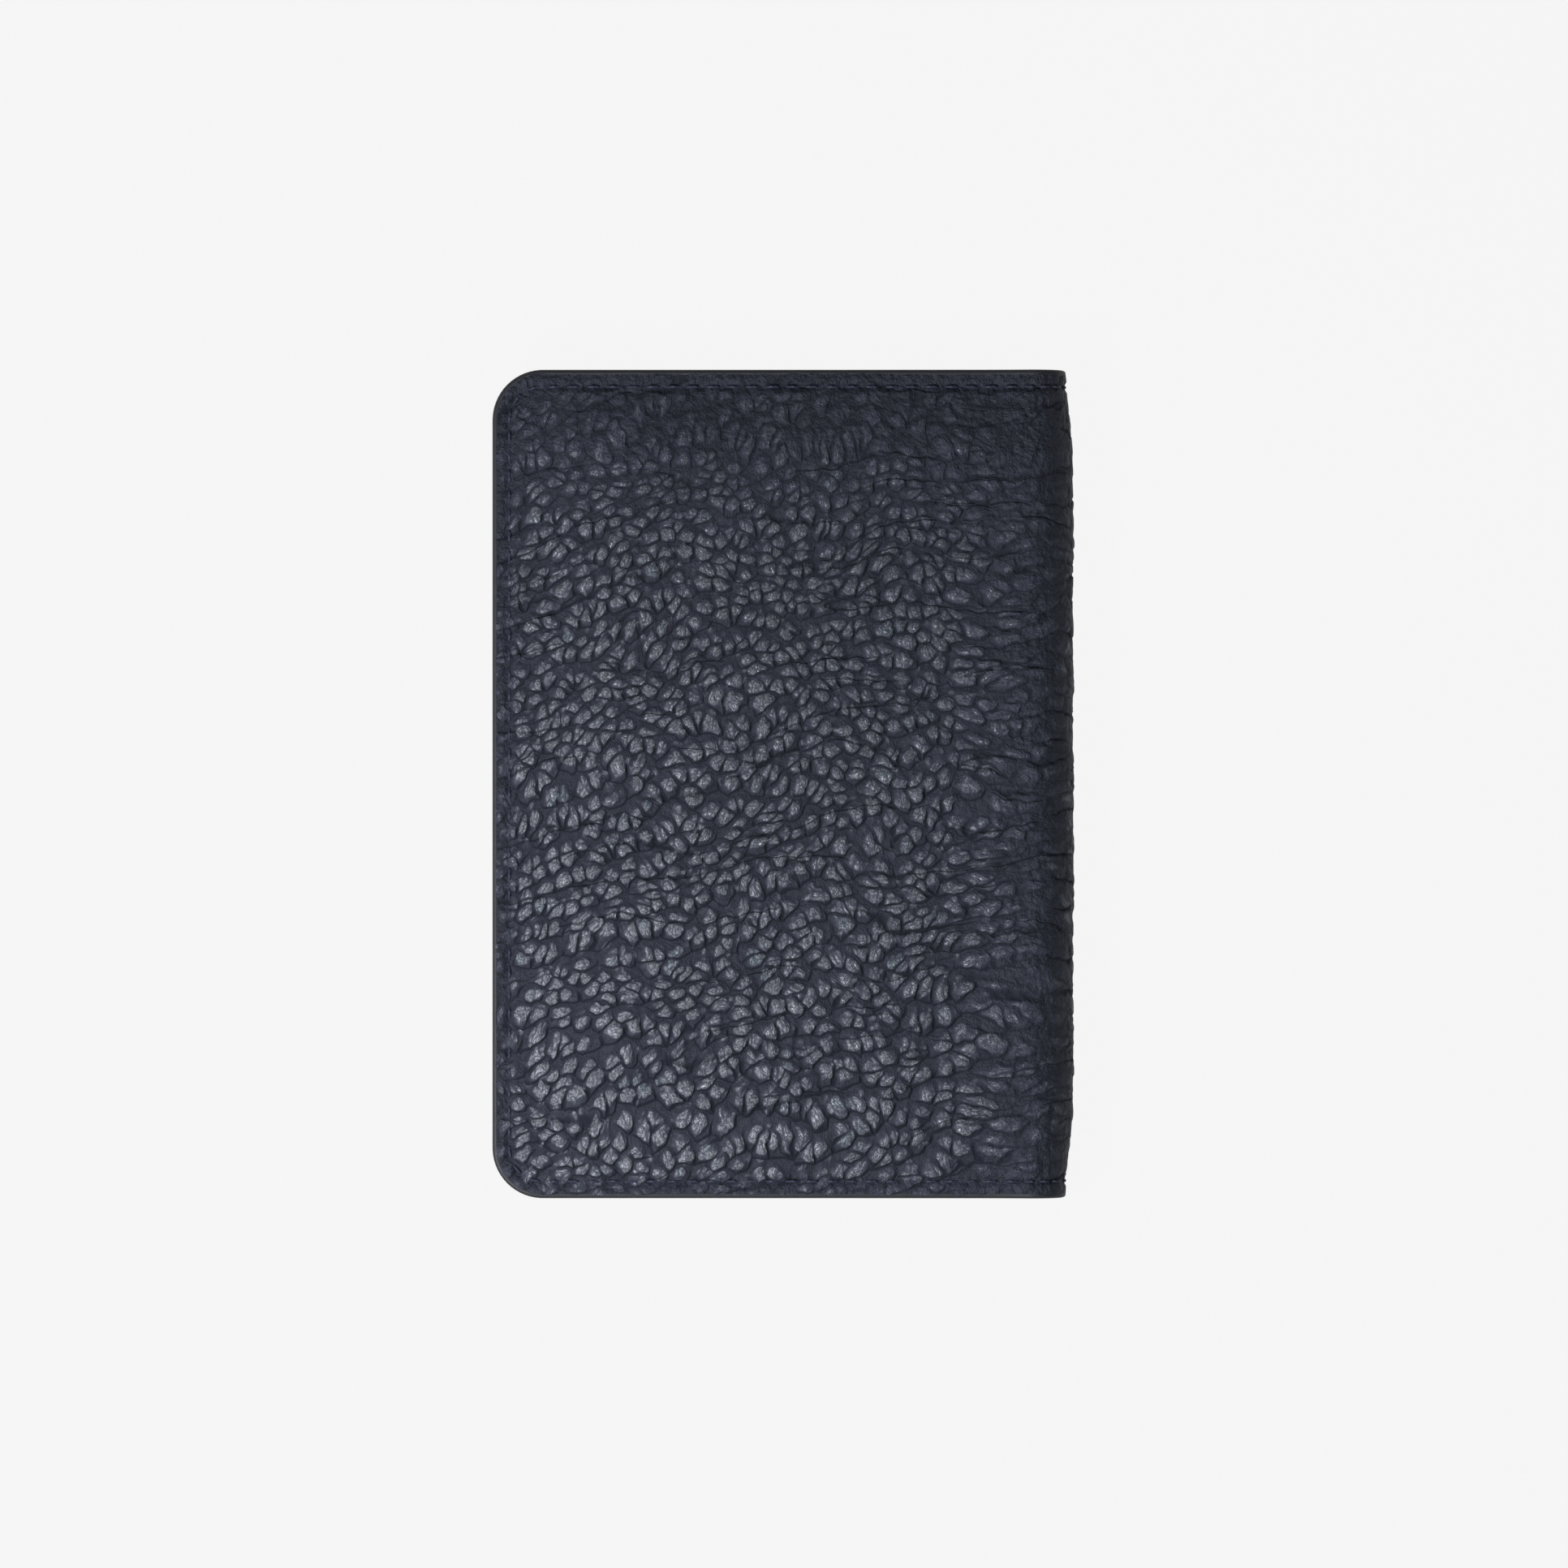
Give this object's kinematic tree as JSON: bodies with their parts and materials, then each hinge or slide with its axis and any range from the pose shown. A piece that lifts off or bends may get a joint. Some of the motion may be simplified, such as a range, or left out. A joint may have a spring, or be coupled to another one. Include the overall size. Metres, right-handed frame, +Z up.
{
  "type": "card holder",
  "caption": "Leather card holder that folds like a book, with a pebbled cover, painted edges, a seam round its free sides and staggered card pockets in both halves.",
  "frame": {"origin": "middle of the footprint, level with the face of the front cover that it lies on", "axes": "+X towards the spine, +Y towards the top edge, +Z up out of the back cover; the holder is closed"},
  "size_m": [0.0746, 0.106, 0.0119],
  "materials": {
    "cover_leather": "pebbled, semi-gloss, deep navy",
    "pocket_leather": "smooth fine grain, satin, deep navy",
    "lining_leather": "fine grain, matt, deep navy",
    "pocket_cloth": "fine twill, dark navy",
    "stiffener_board": "bonded leather fibre board, hidden",
    "edge_paint": "satin charcoal edge paint",
    "thread": "bonded polyester thread, dark navy"
  },
  "bodies": {
    "front_half": {"front_cover": "cover_leather", "front_stiffener": "stiffener_board", "front_lining": "lining_leather", "front_pocket_backer": "pocket_cloth", "front_pocket_strip_1": "pocket_leather", "front_pocket_strip_2": "pocket_leather", "front_pocket_panel": "pocket_leather", "front_edge_paint": "edge_paint", "front_seam_thread": "thread"},
    "spine": {"spine_cover": "cover_leather", "spine_stiffener": "stiffener_board", "spine_lining": "lining_leather", "spine_seam_top": "thread", "spine_seam_bottom": "thread"},
    "back_half": {"back_cover": "cover_leather", "back_stiffener": "stiffener_board", "back_lining": "lining_leather", "back_pocket_backer": "pocket_cloth", "back_pocket_strip_1": "pocket_leather", "back_pocket_strip_2": "pocket_leather", "back_pocket_panel": "pocket_leather", "back_edge_paint": "edge_paint", "back_seam_thread": "thread"}
  },
  "joints": [
    {"name": "lower_fold", "type": "hinge", "parent": "front_half", "child": "spine", "pos_m": [0.03597, 0, 0.00128], "axis": [0, 1, 0], "range_deg": [0, 90]},
    {"name": "upper_fold", "type": "hinge", "parent": "spine", "child": "back_half", "pos_m": [0.03597, 0, 0.01064], "axis": [0, 1, 0], "range_deg": [0, 90]}
  ],
  "couplings": [
    {"joint": "upper_fold", "follows": "lower_fold", "ratio": 1}
  ]
}
